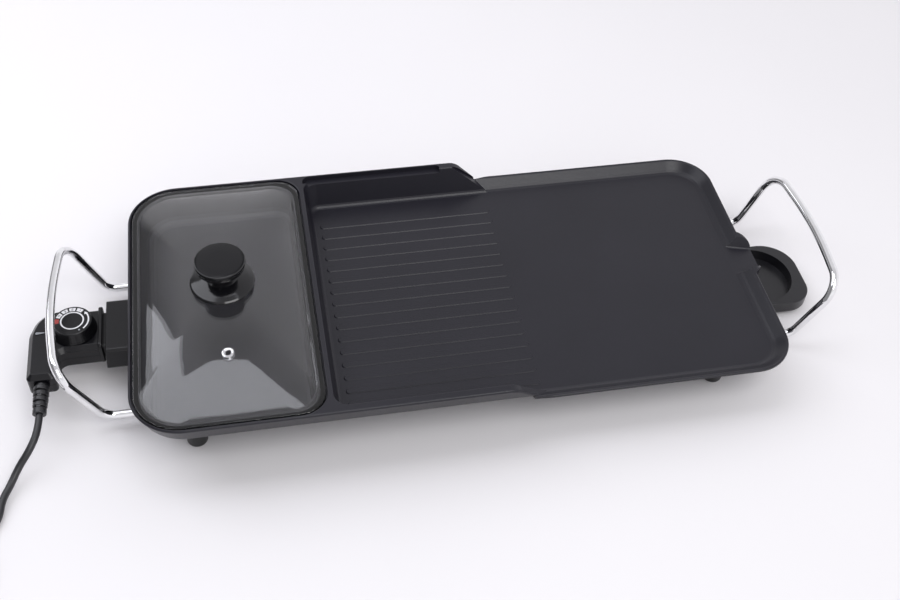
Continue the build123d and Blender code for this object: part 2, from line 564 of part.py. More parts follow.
# ================================================================= thermostat controller
def outline(inset, z, end=1.0):
    """Plan outline of the controller's housing, moved in by an inset."""
    i = inset
    pts = [(CTRL_RIGHT - i * end, 24.2 - i), (-343, 24.2 - i), (-352, 27.4 - i), (-365, 28 - i), (-377.0 + 0.7 * i, 25.2 - 0.8 * i),
           (-386.3 + 0.85 * i, 16.6 - 0.6 * i), (CTRL_LEFT + i, 0.0), (CTRL_LEFT + i, -53 + i), (-367 - i, -53 + i),
           (-367 - i, -24.2 + i), (CTRL_RIGHT - i * end, -24.2 + i)]
    f = Face(Wire.make_polygon([(x, y, z) for x, y in pts], close=True))
    def near(x, y, tol=1.2):
        return [v for v in f.vertices() if abs(v.X - x) < tol and abs(v.Y - y) < tol]
    f = f.fillet_2d(max(9.0 + i, 1), near(-367 - i, -24.2 + i))
    f = f.fillet_2d(max(4.0 - i * 0.5, 1), near(CTRL_LEFT + i, -53 + i))
    f = f.fillet_2d(max(4.0 - i * 0.5, 1), near(-367 - i, -53 + i))
    for (x, y), r in (((-343, 24.2 - i), 14), ((-352, 27.4 - i), 14), ((-365, 28 - i), 20), ((-377.0 + 0.7 * i, 25.2 - 0.8 * i), 22),
                      ((-386.3 + 0.85 * i, 16.6 - 0.6 * i), 22), ((CTRL_LEFT + i, 0.0), 22)):
        try:
            f = f.fillet_2d(r, near(x, y, 0.3))
        except Exception as ex:
            print("outline corner kept", x, y)
    return f

WALL = 2.2
def roofed(inset, z0, z1, bevel):
    """Housing solid from z0 to z1 with a bevel round its top."""
    body = extrude(outline(inset, z0), amount=z1 - bevel - z0)
    return body + draft(outline(inset, z1 - bevel), outline(inset + bevel, z1, inset / (inset + bevel)))


top_shell = roofed(0, CTRL_SPLIT, CTRL_TOP, CTRL_BEVEL)
top_edges = [e for e in top_shell.edges() if e.bounding_box().min.Z > CTRL_TOP - 0.01 and e.center().X < CTRL_RIGHT - 0.2]
top_shell = softened(top_shell, top_edges, [0.8, 0.5, 0.3])
top_shell -= roofed(WALL, CTRL_SPLIT - 1, CTRL_TOP - WALL, CTRL_BEVEL - 1.0)
bot_shell = extrude(outline(0, CTRL_BOT), amount=CTRL_SPLIT - CTRL_BOT - 0.25)
bot_edges = [e for e in bot_shell.edges() if e.bounding_box().max.Z < CTRL_BOT + 0.01 and e.center().X < CTRL_RIGHT - 0.2]
bot_shell = softened(bot_shell, bot_edges, [2.2, 1.6, 1.0])
bot_shell -= extrude(outline(WALL, CTRL_BOT + WALL), amount=20)
# screw posts
posts = [(-385.0, -24.0), (-371.5, 18.5), (-344.5, 17.6), (-344.5, -17.6)]
for px, py in posts:
    top_shell += cyl(px, py, CTRL_SPLIT, CTRL_TOP - 1.5, 2.6)
    top_shell -= cyl(px, py, CTRL_SPLIT - 1, CTRL_SPLIT + 8, 1.2)
    bot_shell += cyl(px, py, CTRL_BOT + 1.0, CTRL_SPLIT - 0.25, 2.6)
    bot_shell -= cyl(px, py, CTRL_BOT - 1, CTRL_SPLIT, 1.3)
    bot_shell -= cyl(px, py, CTRL_BOT - 1, CTRL_BOT + 2.2, 2.1)
# opening for the spindle, the nose and the relief
top_shell -= cyl(DIAL_X, DIAL_Y, CTRL_TOP - 4, CTRL_TOP + 1, 4.6)
nose_cut = block(-340, -320, -21.6, 21.6, 28.9, 45.1)
top_shell -= nose_cut
bot_shell -= nose_cut
rel_cut = cyly(-60, -48, RELIEF_X, RELIEF_Z - 0.2, 5.6)
top_shell -= rel_cut
bot_shell -= rel_cut
# small pointer beside the dial, moulded on the top
ptr = prism_xy([(-385.2, -2.4), (-377.6, -1.3), (-376.8, -0.7), (-377.6, -0.1), (-385.2, 1.0), (-386.2, -0.7)], CTRL_TOP - 0.5, CTRL_TOP + 0.5)
top_shell += ptr
top_shell = top_shell.solids().sort_by(SortBy.VOLUME)[-1]
bot_shell = bot_shell.solids().sort_by(SortBy.VOLUME)[-1]
save("controller_top", top_shell)
save("controller_bottom", bot_shell)
save("shell_screws", *[cyl(px, py, CTRL_BOT + 0.6, CTRL_BOT + 2.2, 1.95) + cyl(px, py, CTRL_BOT + 2.2, CTRL_SPLIT + 7.4, 1.15)
                       for px, py in posts])

# contact block: collar outside the housing, nose that enters the guard
col = block(CTRL_RIGHT, -326.2, -24.9, 24.9, 25.0, 50.6)
col = softened(col, col.edges().filter_by(Axis.X), [4.0, 3.0])
col = softened(col, [e for e in col.edges() if abs(e.bounding_box().max.X - e.bounding_box().min.X) < 1e-3], [1.2, 0.9])
nose = block(-338.5, -300.2, -21.2, 21.2, 29.2, 44.8)
nose = softened(nose, nose.edges().filter_by(Axis.X), [2.5])
cb = col + nose
for sy in (-1, 1):
    cb -= cylx(-339, -300, sy * PIN_Y, SOCK_Z, 4.05)
cb -= cylx(-339, -300, 0, SOCK_Z, 3.05)
save("contact_block", cb)
save("receptacles", *[cylx(-336.0, -300.8, sy * PIN_Y, SOCK_Z, 4.0) - cylx(-334.0, -300, sy * PIN_Y, SOCK_Z, PIN_R + 0.06) for sy in (-1, 1)])
probe = cylx(-343.5, -246.0, 0, SOCK_Z, 3.0)
probe = softened(probe, [e for e in probe.edges() if e.center().X > -247], [2.0])
save("probe_tube", probe)

# thermostat inside the housing, under the dial
frame = block(-361.0, -344.0, -9.5, 9.5, 28.2, 29.8)
frame += block(-361.0, -359.4, -9.5, 9.5, 28.2, 44.0)
frame += block(-361.0, -344.5, -9.5, 9.5, 42.4, 44.0)
frame -= cyl(DIAL_X, DIAL_Y, 41, 45, 3.9)
save("thermostat_frame", frame)
save("spindle_bush", cyl(DIAL_X, DIAL_Y, 41.6, 45.9, 3.85) - cyl(DIAL_X, DIAL_Y, 41, 47, 3.05))
blades = [block(-359.3, -345.5, -3.0, 3.0, 32.4, 32.9) + block(-348.5, -345.5, -1.4, 1.4, 31.9, 32.4),
          block(-359.3, -345.5, -3.0, 3.0, 30.9, 31.4) + block(-348.5, -345.5, -1.4, 1.4, 31.4, 31.7)]
save("contact_blades", *blades)
save("blade_insulators", block(-359.3, -356.0, -3.4, 3.4, 31.45, 32.35), block(-359.3, -356.0, -3.4, 3.4, 29.85, 30.85),
     block(-359.3, -356.0, -3.4, 3.4, 32.95, 34.2))
save("cam_follower", cyl(DIAL_X, DIAL_Y, 34.3, 38.4, 1.6))

# leads inside the housing, from the cord to the receptacles and the frame
def lead(pts, r=1.1, rad=4.0):
    return tube(FilletPolyline(*pts, radius=rad), r)

leads = [lead([(-382.6, -47.7, 37.2), (-382.6, -34, 37.2), (-366.0, -19.5, 34.0), (-346, -13.0, 34.5), (-337.5, -13.0, 37.0)], rad=4.0),
         lead([(-377.4, -47.7, 37.2), (-377.4, -30, 37.2), (-372.0, 4.0, 37.2), (-362.5, 13.5, 37.2), (-337.5, 13.0, 37.2)], rad=4.0)]
save("inner_leads", *leads)
save("cord_clamp", block(-387.0, -372.0, -46.4, -43.2, 40.9, 42.9))

# dial and its spindle
dial = cone_z(DIAL_X, DIAL_Y, DIAL_Z0, DIAL_Z1, DIAL_R0, DIAL_R1)
dial = softened(dial, [e for e in dial.edges() if e.center().Z > DIAL_Z1 - 0.1 and e.length > 100], [1.3, 1.0])
dial = softened(dial, [e for e in dial.edges() if e.center().Z < DIAL_Z0 + 0.1 and e.length > 100], [0.8])
dial -= cyl(DIAL_X, DIAL_Y, DIAL_Z0 - 1, DIAL_Z1 - 3.4, 3.0)
DIAL_LEAN = math.degrees(math.atan((DIAL_R0 - DIAL_R1) / (DIAL_Z1 - DIAL_Z0)))
cut = []
for k in range(54):
    a = 2 * math.pi * k / 54
    rc = DIAL_R0 - (DIAL_R0 - DIAL_R1) * 5.4 / (DIAL_Z1 - DIAL_Z0) + 0.15
    c = Pos(DIAL_X, DIAL_Y, DIAL_Z0 + 5.4) * Rot(0, 0, math.degrees(a)) * Pos(rc, 0, 0) * Rot(0, -DIAL_LEAN, 0) * Box(1.6, 1.0, 7.4)
    cut.append(c)
cutter = cut[0]
for c in cut[1:]:
    cutter = cutter + c
dial -= cutter
dial = dial.solids().sort_by(SortBy.VOLUME)[-1]
save("dial_knob", dial)
sp = cyl(DIAL_X, DIAL_Y, 40.6, DIAL_Z1 - 3.5, 2.98)
cam = cyl(DIAL_X, DIAL_Y, 38.6, 40.6, 5.2)
save("dial_spindle", sp + cam)

# ================================================================= lead: relief, cord, coil, tie, plug
rel_seat = cyly(-53.1, -50.3, RELIEF_X, RELIEF_Z - 0.2, 5.4) + cyly(-50.3, -47.8, RELIEF_X, RELIEF_Z - 0.2, 7.2)
# outside the housing the relief hangs down a little and to the left
relief_pose = Pos(RELIEF_X, RELIEF_Y0 + 0.1, RELIEF_Z - 0.2) * Rot(RELIEF_DROOP, 0, 0) * Rot(0, 0, -RELIEF_YAW)
sleeve = cyly(-3.0, 0.6, 0, 0, 5.2)
ribs_r = [6.9, 6.9, 6.7, 6.4, 6.0]
pitch = (RELIEF_L - 1.6) / len(ribs_r)
for k, ra in enumerate(ribs_r):
    y1 = -1.6 - k * pitch
    last = k == len(ribs_r) - 1
    y0 = y1 - pitch + (0.0 if last else 1.5)
    ringed = cyly(y0, y1, 0, 0, ra)
    ringed = softened(ringed, ringed.edges(), [0.7, 0.5])
    sleeve += ringed
    if not last:
        sleeve += cyly(y0 - 1.6, y0 + 0.8, 0, 0, ra - 1.9)
        web = Box(3.4, 1.7, 2 * ra - 0.9) if k % 2 else Box(2 * ra - 0.9, 1.7, 3.4)
        sleeve += Pos(0, y0 - 0.75, 0) * web
rel = rel_seat + relief_pose * sleeve
rel = rel.solids().sort_by(SortBy.VOLUME)[-1]
save("strain_relief", rel)

zc = CORD_R
CORD_PTS = [(-382.01, -81.45, 31.5), (-383.06, -96.25, 28.62), (-390.17, -111.43, 23.21), (-401.27, -121.99, 13.61),
            (-408.31, -135.37, 7.76), (-414.7, -149.55, 7.18), (-416.43, -164.7, 4.51), (-423.65, -178.33, zc + 0.05),
            (-428.45, -194.26, zc + 0.05), (-428.45, -206.0, zc + 0.05)]

def corner_radii(pts):
    out = []
    for a, b, c in zip(pts, pts[1:], pts[2:]):
        u, v = Vector(*b) - Vector(*a), Vector(*c) - Vector(*b)
        ang = u.get_angle(v)
        out.append(0.45 * min(u.length, v.length) / math.tan(math.radians(ang) / 2))
    return out

def cord_tube(pts, label):
    radii = corner_radii(pts)
    path = FilletPolyline(*pts, radius=radii)
    t = tube(path, CORD_R)
    print(label, "radii", [round(r, 1) for r in radii], "runs", [round((Vector(*b) - Vector(*a)).length, 1) for a, b in zip(pts, pts[1:])],
          "length", round(path.length, 1), "volume ratio", round(t.volume / (math.pi * CORD_R ** 2 * path.length), 4))
    return t, path.length

main_tube, main_len = cord_tube(CORD_PTS, "cord")

coil_prof = Pos((COIL_RIN + COIL_ROUT) / 2, 0, 0) * Rectangle(1, 1)
ring = spin([(COIL_RIN + 2, 0.05), (COIL_ROUT - 3, 0.05), (COIL_ROUT - 0.9, 1.0), (COIL_ROUT, 3.0), (COIL_ROUT, 10.0), (COIL_ROUT - 0.9, 12.2),
             (COIL_ROUT - 3.0, 17.8), (COIL_ROUT - 5.0, COIL_H), (COIL_RIN + 5.0, COIL_H), (COIL_RIN + 2.4, 17.8), (COIL_RIN + 0.9, 12.2),
             (COIL_RIN, 10.0), (COIL_RIN, 3.0), (COIL_RIN + 0.7, 1.0)], COIL_X, COIL_Y)
# the lead runs in and out of the ring through it, so each end of the coil is cut to meet its tube
save_coil = ring
TAIL_PTS = [(PLUG_X - 0.3, COIL_Y + 14.0, 15.8), (PLUG_X, COIL_Y + 26.0, 17.7), (PLUG_X, COIL_Y + 37.0, 17.7)]
tail_tube, tail_len = cord_tube(TAIL_PTS, "tail")
main_out = main_tube - ring
tail_out = tail_tube - ring
print("tube solids", len(main_out.solids()), len(tail_out.solids()))
mo = main_out.solids().sort_by(SortBy.VOLUME)[-1]
to = tail_out.solids().sort_by(SortBy.VOLUME)[-1]
save("cord", mo)
save("cord_tail", to)
save("cord_coil", ring)

tie_y = COIL_Y - (COIL_RIN + COIL_ROUT) / 2
ty0, ty1 = COIL_Y - COIL_ROUT, COIL_Y - COIL_RIN
tie_sec = Pos(COIL_X, (ty0 + ty1) / 2, 0)
tie = block(COIL_X - 6, COIL_X + 6, ty0 - 1.2, ty1 + 1.2, 0.0, COIL_H + 1.3)
tie = softened(tie, tie.edges().filter_by(Axis.X), [3.5, 2.5])
tie -= ring
tie_inner = block(COIL_X - 7, COIL_X + 7, ty0 + 0.3, ty1 - 0.3, 0.05, COIL_H)
tie_inner = softened(tie_inner, tie_inner.edges().filter_by(Axis.X), [3.2, 2.2])
tie -= tie_inner
tie = tie.solids().sort_by(SortBy.VOLUME)[-1]
save("coil_tie", tie)

# plug: moulded round body lying on its side, pins to the back
PZ = 18.4
p0 = COIL_Y + 37.1
relp = Pos(PLUG_X, 0, PZ - 0.6)
plug = Pos(PLUG_X, p0 + 11, 17.7) * Rot(-90, 0, 0) * Cone(5.2, 7.6, 22)
prof = [(0, 0), (8.0, 0), (11.0, 2.0), (13.6, 8.0), (15.2, 14.0), (17.2, 17.0), (18.3, 20.0), (18.3, 36.0), (17.7, 36.6), (0, 36.6)]
wb = Wire.make_polygon([(r, 0, z) for r, z in prof], close=True)
pb = revolve(Face(wb), Axis.Z, 360)
plug += Pos(PLUG_X, p0 + 21.5, PZ) * Rot(-90, 0, 0) * pb
pf = p0 + 21.5 + 36.6
for sx in (-1, 1):
    g1 = Pos(PLUG_X + sx * 17.6, pf - 9, PZ) * Box(3.0, 20, 5.2)
    plug -= g1
for s in (-1, 1):
    plug -= cyly(pf - 6.0, pf + 1, PLUG_X, PZ + s * 9.5, 2.4)
plug = plug.solids().sort_by(SortBy.VOLUME)[-1]
save("plug_body", plug)
pp = []
for s in (-1, 1):
    q = cyly(pf - 6.0, pf + 19.0, PLUG_X, PZ + s * 9.5, 2.4)
    q = softened(q, [e for e in q.edges() if e.center().Y > pf + 18.9], [1.5, 1.0])
    pp.append(q)
save("plug_pins", *pp)
save("earth_clips", *[Pos(PLUG_X + sx * 17.0, pf - 9.5, PZ) * Box(1.2, 18.0, 4.2) for sx in (-1, 1)])

turns = 4.5
coil_len = turns * 2 * math.pi * 36.25
print("cord length", round(main_len + coil_len + tail_len, 0))
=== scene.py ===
import bpy
import bmesh
import json
import math
from mathutils import Matrix, Vector


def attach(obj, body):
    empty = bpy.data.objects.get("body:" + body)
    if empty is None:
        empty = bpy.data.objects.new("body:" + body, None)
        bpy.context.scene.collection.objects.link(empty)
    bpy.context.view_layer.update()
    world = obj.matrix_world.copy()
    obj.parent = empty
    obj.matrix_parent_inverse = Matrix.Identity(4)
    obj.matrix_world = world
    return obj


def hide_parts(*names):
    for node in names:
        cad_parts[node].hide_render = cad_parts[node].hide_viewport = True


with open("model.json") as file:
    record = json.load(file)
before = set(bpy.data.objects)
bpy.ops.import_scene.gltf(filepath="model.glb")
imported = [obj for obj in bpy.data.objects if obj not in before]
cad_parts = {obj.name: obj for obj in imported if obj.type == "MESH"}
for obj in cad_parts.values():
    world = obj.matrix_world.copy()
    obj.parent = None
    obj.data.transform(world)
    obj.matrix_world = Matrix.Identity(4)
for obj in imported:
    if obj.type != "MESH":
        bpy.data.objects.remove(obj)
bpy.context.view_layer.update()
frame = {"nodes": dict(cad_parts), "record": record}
nodes = frame["nodes"]
SX = 0.0125          # the plate's centre in the shared frame


def P(x, y, z):
    """Plate-centred millimetres to the shared frame in metres."""
    return Vector((x / 1000.0 + SX, y / 1000.0, z / 1000.0))


# ------------------------------------------------------------------ camera
cam_data = bpy.data.cameras.new("camera")
cam_data.sensor_fit = "HORIZONTAL"
cam_data.sensor_width = 36.0
cam_data.lens = 47.0
cam_data.clip_start = 0.02
cam_data.clip_end = 50
cam = bpy.data.objects.new("camera", cam_data)
bpy.context.scene.collection.objects.link(cam)
right = Vector((0.9829, -0.18037, 0.03699)).normalized()
fwd = Vector((0.14873, 0.65933, -0.737)).normalized()
up = right.cross(fwd).normalized()
right = fwd.cross(up).normalized()
m = Matrix((right, up, -fwd)).transposed().to_4x4()
m.translation = P(-169.74, -753.84, 819.57 + 55.0)
cam.matrix_world = m
bpy.context.scene.camera = cam


# ------------------------------------------------------------------ materials
def new_mat(name):
    mt = bpy.data.materials.new(name)
    mt.use_nodes = True
    nt = mt.node_tree
    nt.nodes.clear()
    out = nt.nodes.new("ShaderNodeOutputMaterial")
    bs = nt.nodes.new("ShaderNodeBsdfPrincipled")
    nt.links.new(bs.outputs["BSDF"], out.inputs["Surface"])
    return mt, nt, bs


def coords(nt, scale=(1, 1, 1)):
    tc = nt.nodes.new("ShaderNodeTexCoord")
    mp = nt.nodes.new("ShaderNodeMapping")
    mp.inputs["Scale"].default_value = scale
    nt.links.new(tc.outputs["Object"], mp.inputs["Vector"])
    return mp.outputs["Vector"]


def noise(nt, vec, scale, detail=4.0, rough=0.55):
    n = nt.nodes.new("ShaderNodeTexNoise")
    n.inputs["Scale"].default_value = scale
    n.inputs["Detail"].default_value = detail
    n.inputs["Roughness"].default_value = rough
    nt.links.new(vec, n.inputs["Vector"])
    return n


def ramp(nt, fac, stops):
    r = nt.nodes.new("ShaderNodeValToRGB")
    els = r.color_ramp.elements
    while len(els) < len(stops):
        els.new(0.5)
    for e, (pos, col) in zip(els, stops):
        e.position = pos
        e.color = (*col, 1.0) if len(col) == 3 else col
    nt.links.new(fac, r.inputs["Fac"])
    return r.outputs["Color"]


def map_range(nt, val, lo, hi, a=0.0, b=1.0):
    r = nt.nodes.new("ShaderNodeMapRange")
    r.inputs["From Min"].default_value = a
    r.inputs["From Max"].default_value = b
    r.inputs["To Min"].default_value = lo
    r.inputs["To Max"].default_value = hi
    nt.links.new(val, r.inputs["Value"])
    return r.outputs["Result"]


def bump(nt, bs, height, strength, dist, prev=None):
    b = nt.nodes.new("ShaderNodeBump")
    b.inputs["Strength"].default_value = strength
    b.inputs["Distance"].default_value = dist
    nt.links.new(height, b.inputs["Height"])
    if prev is not None:
        nt.links.new(prev, b.inputs["Normal"])
    nt.links.new(b.outputs["Normal"], bs.inputs["Normal"])
    return b.outputs["Normal"]


def plain(name, base, rough, metallic=0.0, grain=900.0, vary=0.10, rvary=0.06, bstr=0.12, bdist=0.00012, big=14.0, spec=0.5, coat=0.0,
          coat_rough=0.1, stretch=(1, 1, 1)):
    """Moulded, cast or plated surface: soft colour variation, grain in roughness and bump."""
    mt, nt, bs = new_mat(name)
    v = coords(nt, stretch)
    wide = noise(nt, v, big, 3.0)
    fine = noise(nt, v, grain, 2.0, 0.6)
    c0 = tuple(max(0.0, c * (1 - vary)) for c in base)
    c1 = tuple(min(1.0, c * (1 + vary)) for c in base)
    nt.links.new(ramp(nt, wide.outputs["Fac"], [(0.3, c0), (0.7, c1)]), bs.inputs["Base Color"])
    nt.links.new(map_range(nt, fine.outputs["Fac"], max(0.02, rough - rvary), rough + rvary, 0.25, 0.75), bs.inputs["Roughness"])
    bs.inputs["Metallic"].default_value = metallic
    bs.inputs["Specular IOR Level"].default_value = spec
    bs.inputs["Coat Weight"].default_value = coat
    bs.inputs["Coat Roughness"].default_value = coat_rough
    if bstr > 0:
        bump(nt, bs, fine.outputs["Fac"], bstr, bdist)
    return mt


def nonstick():
    """Dark non-stick coating on a casting: fine orange-peel with tiny lighter flecks."""
    mt, nt, bs = new_mat("nonstick")
    v = coords(nt)
    wide = noise(nt, v, 9.0, 4.0, 0.6)
    fine = noise(nt, v, 620.0, 3.0, 0.6)
    fleck = noise(nt, v, 1900.0, 1.0, 0.5)
    base = ramp(nt, wide.outputs["Fac"], [(0.25, (0.0085, 0.0080, 0.0125)), (0.75, (0.0120, 0.0114, 0.0170))])
    speck = ramp(nt, fleck.outputs["Fac"], [(0.68, (0, 0, 0)), (0.76, (0.018, 0.018, 0.020))])
    add = nt.nodes.new("ShaderNodeMix")
    add.data_type = "RGBA"
    add.blend_type = "ADD"
    add.inputs[0].default_value = 1.0
    nt.links.new(base, add.inputs[6])
    nt.links.new(speck, add.inputs[7])
    nt.links.new(add.outputs[2], bs.inputs["Base Color"])
    nt.links.new(map_range(nt, fine.outputs["Fac"], 0.31, 0.40, 0.3, 0.7), bs.inputs["Roughness"])
    bs.inputs["Specular IOR Level"].default_value = 0.38
    b1 = nt.nodes.new("ShaderNodeBump")
    b1.inputs["Strength"].default_value = 0.14
    b1.inputs["Distance"].default_value = 0.00010
    nt.links.new(fine.outputs["Fac"], b1.inputs["Height"])
    nt.links.new(b1.outputs["Normal"], bs.inputs["Normal"])
    return mt


def chrome():
    mt, nt, bs = new_mat("handle_chrome")
    v = coords(nt)
    smear = noise(nt, v, 60.0, 4.0, 0.6)
    micro = noise(nt, v, 380.0, 3.0, 0.6)
    nt.links.new(ramp(nt, smear.outputs["Fac"], [(0.3, (0.80, 0.80, 0.81)), (0.7, (0.88, 0.88, 0.885))]), bs.inputs["Base Color"])
    nt.links.new(map_range(nt, smear.outputs["Fac"], 0.05, 0.075, 0.3, 0.7), bs.inputs["Roughness"])
    bs.inputs["Metallic"].default_value = 1.0
    bump(nt, bs, micro.outputs["Fac"], 0.012, 0.00002)
    return mt


def clear_glass():
    mt, nt, bs = new_mat("lid_glass")
    v = coords(nt)
    haze = noise(nt, v, 22.0, 4.0, 0.6)
    nt.links.new(ramp(nt, haze.outputs["Fac"], [(0.3, (0.975, 0.975, 0.985)), (0.7, (0.985, 0.985, 0.992))]), bs.inputs["Base Color"])
    nt.links.new(map_range(nt, haze.outputs["Fac"], 0.0, 0.004, 0.3, 0.7), bs.inputs["Roughness"])
    bs.inputs["Transmission Weight"].default_value = 1.0
    bs.inputs["IOR"].default_value = 1.5
    return mt


MATS = {
    "nonstick": nonstick(),
    "element_steel": plain("element_steel", (0.20, 0.19, 0.18), 0.45, metallic=0.9, grain=500, vary=0.2),
    "seal_ceramic": plain("seal_ceramic", (0.72, 0.70, 0.66), 0.6, grain=1200),
    "pin_steel": plain("pin_steel", (0.62, 0.62, 0.63), 0.22, metallic=1.0, grain=700, bstr=0.05),
    "guard_plastic": plain("guard_plastic", (0.0036, 0.0035, 0.0045), 0.24, grain=1100, rvary=0.02, bstr=0.02, bdist=0.00003, spec=0.36),
    "screw_steel": plain("screw_steel", (0.55, 0.55, 0.56), 0.3, metallic=1.0, grain=900, bstr=0.08),
    "handle_chrome": chrome(),
    "clamp_steel": plain("clamp_steel", (0.55, 0.55, 0.56), 0.34, metallic=1.0, grain=600, bstr=0.08),
    "foot_plastic": plain("foot_plastic", (0.010, 0.010, 0.011), 0.38, grain=1100, bstr=0.05, bdist=0.00004),
    "pad_rubber": plain("pad_rubber", (0.022, 0.022, 0.023), 0.7, grain=900),
    "lid_glass": clear_glass(),
    "trim_steel": plain("trim_steel", (0.66, 0.66, 0.67), 0.18, metallic=1.0, grain=700, bstr=0.04),
    "knob_plastic": plain("knob_plastic", (0.0045, 0.0045, 0.0055), 0.12, grain=900, rvary=0.02, bstr=0.02, bdist=0.00003),
    "knob_cap_plastic": plain("knob_cap_plastic", (0.0035, 0.0035, 0.0048), 0.17, grain=900, rvary=0.02, bstr=0.02, bdist=0.00003, spec=0.34),
    "cup_plastic": plain("cup_plastic", (0.0090, 0.0088, 0.0110), 0.30, grain=700, vary=0.04, rvary=0.01, bstr=0.0),
    "controller_plastic": plain("controller_plastic", (0.0036, 0.0035, 0.0048), 0.22, grain=1100, rvary=0.02, bstr=0.02, bdist=0.00003, spec=0.36),
    "contact_brass": plain("contact_brass", (0.62, 0.46, 0.18), 0.3, metallic=1.0, grain=700),
    "lead_plastic": plain("lead_plastic", (0.20, 0.09, 0.05), 0.5),
    "cord_black": plain("cord_black", (0.014, 0.014, 0.016), 0.36, grain=1100, bstr=0.05, bdist=0.00004),
    "tie_plastic": plain("tie_plastic", (0.03, 0.03, 0.03), 0.4),
    "plug_plastic": plain("plug_plastic", (0.010, 0.010, 0.011), 0.30, grain=1100, rvary=0.03, bstr=0.04, bdist=0.00004),
    "dial_plastic": plain("dial_plastic", (0.0036, 0.0035, 0.0045), 0.25, grain=1100, rvary=0.02, bstr=0.02, bdist=0.00003, spec=0.36),
}
slot_of = {s["node"]: s["material_slot"] for s in frame["record"]["subparts"]}


def soften(o, angle=32.0):
    me = o.data
    for nm in ("custom_normal",):
        at = me.attributes.get(nm)
        if at is not None:
            me.attributes.remove(at)
    me.polygons.foreach_set("use_smooth", [True] * len(me.polygons))
    me.set_sharp_from_angle(angle=math.radians(angle))
    me.update()


for name, o in nodes.items():
    o.data.materials.clear()
    o.data.materials.append(MATS[slot_of[name]])
    soften(o)

# ------------------------------------------------------------------ lead
zc = 3.25
CORD_PTS = [(-382.01, -81.45, 31.5), (-383.06, -96.25, 28.62), (-390.17, -111.43, 23.21), (-401.27, -121.99, 13.61),
            (-408.31, -135.37, 7.76), (-414.7, -149.55, 7.18), (-416.43, -164.7, 4.51), (-423.65, -178.33, zc + 0.05),
            (-428.45, -194.26, zc + 0.05)]
POINTER_Y = -0.7
TAIL_PTS = [(-505.3, -192.0, 15.8), (-505.0, -180.0, 17.7), (-505.0, -169.0, 17.7)]
COIL_X, COIL_Y = -468.0, -206.0


def coil_points():
    """Turns of the coil, clockwise from above: out, in, up a layer, in, out, up."""
    pts = []
    per = 16
    total = int(4.5 * per)
    for k in range(total + 1):
        t = k / per                      # turns so far
        a = -2 * math.pi * t
        n = int(t)
        f = t - n
        s = f * f * (3 - 2 * f)
        radii = [39.3, 33.0, 33.2, 39.2, 36.6, 38.6]
        level = [3.35, 3.35, 9.8, 9.8, 16.0, 16.0]
        # the lead stays in its lay for most of a turn and changes over at the end of it
        g = max(0.0, (f - 0.72) / 0.28)
        g = g * g * (3 - 2 * g)
        r = radii[n] + (radii[n + 1] - radii[n]) * g
        z = level[n] + (level[n + 1] - level[n]) * g
        r = r / math.cos(math.pi / per) ** 0.9 + 0.18 * math.sin(5.0 * t + 0.7)
        pts.append((COIL_X + r * math.cos(a), COIL_Y + r * math.sin(a), z))
    return pts


def nurbs(name, pts, radius, mat):
    cu = bpy.data.curves.new(name, "CURVE")
    cu.dimensions = "3D"
    sp = cu.splines.new("NURBS")
    sp.points.add(len(pts) - 1)
    for p, c in zip(sp.points, pts):
        q = P(*c)
        p.co = (q.x, q.y, q.z, 1.0)
    sp.order_u = 3
    sp.use_endpoint_u = True
    cu.resolution_u = 8
    cu.bevel_depth = radius
    cu.bevel_resolution = 6
    cu.use_fill_caps = True
    o = bpy.data.objects.new(name, cu)
    bpy.context.scene.collection.objects.link(o)
    cu.materials.append(mat)
    return o


lead = nurbs("power_lead", CORD_PTS + coil_points() + TAIL_PTS, 0.00325, MATS["cord_black"])
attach(lead, "controller")
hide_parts("cord", "cord_coil", "cord_tail")

# ------------------------------------------------------------------ printed marks of the dial and the housing
white_ink = plain("white_ink", (0.72, 0.72, 0.74), 0.45, grain=800, vary=0.05, bstr=0.03, bdist=0.00003)
red_ink = plain("red_ink", (0.34, 0.035, 0.030), 0.45, grain=800, vary=0.08, bstr=0.03, bdist=0.00003)
grey_ink = plain("grey_ink", (0.26, 0.27, 0.29), 0.40, grain=800, vary=0.06, bstr=0.03, bdist=0.00003)
dark_ink = plain("dark_ink", (0.012, 0.012, 0.013), 0.45, grain=800, vary=0.06, bstr=0.03, bdist=0.00003)
DX, DY, DZ = -351.0, 0.0, 60.6


def prism(name, outline, z0, z1, mat, body):
    """Thin flat piece from a closed plan outline in plate-centred millimetres."""
    bm = bmesh.new()
    lo = [bm.verts.new(P(x, y, z0)) for x, y in outline]
    hi = [bm.verts.new(P(x, y, z1)) for x, y in outline]
    n = len(outline)
    bm.faces.new(list(reversed(lo)))
    bm.faces.new(hi)
    for i in range(n):
        j = (i + 1) % n
        bm.faces.new((lo[i], lo[j], hi[j], hi[i]))
    bmesh.ops.recalc_face_normals(bm, faces=bm.faces)
    me = bpy.data.meshes.new(name)
    bm.to_mesh(me)
    bm.free()
    me.materials.append(mat)
    ob = bpy.data.objects.new(name, me)
    bpy.context.scene.collection.objects.link(ob)
    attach(ob, body)
    return ob


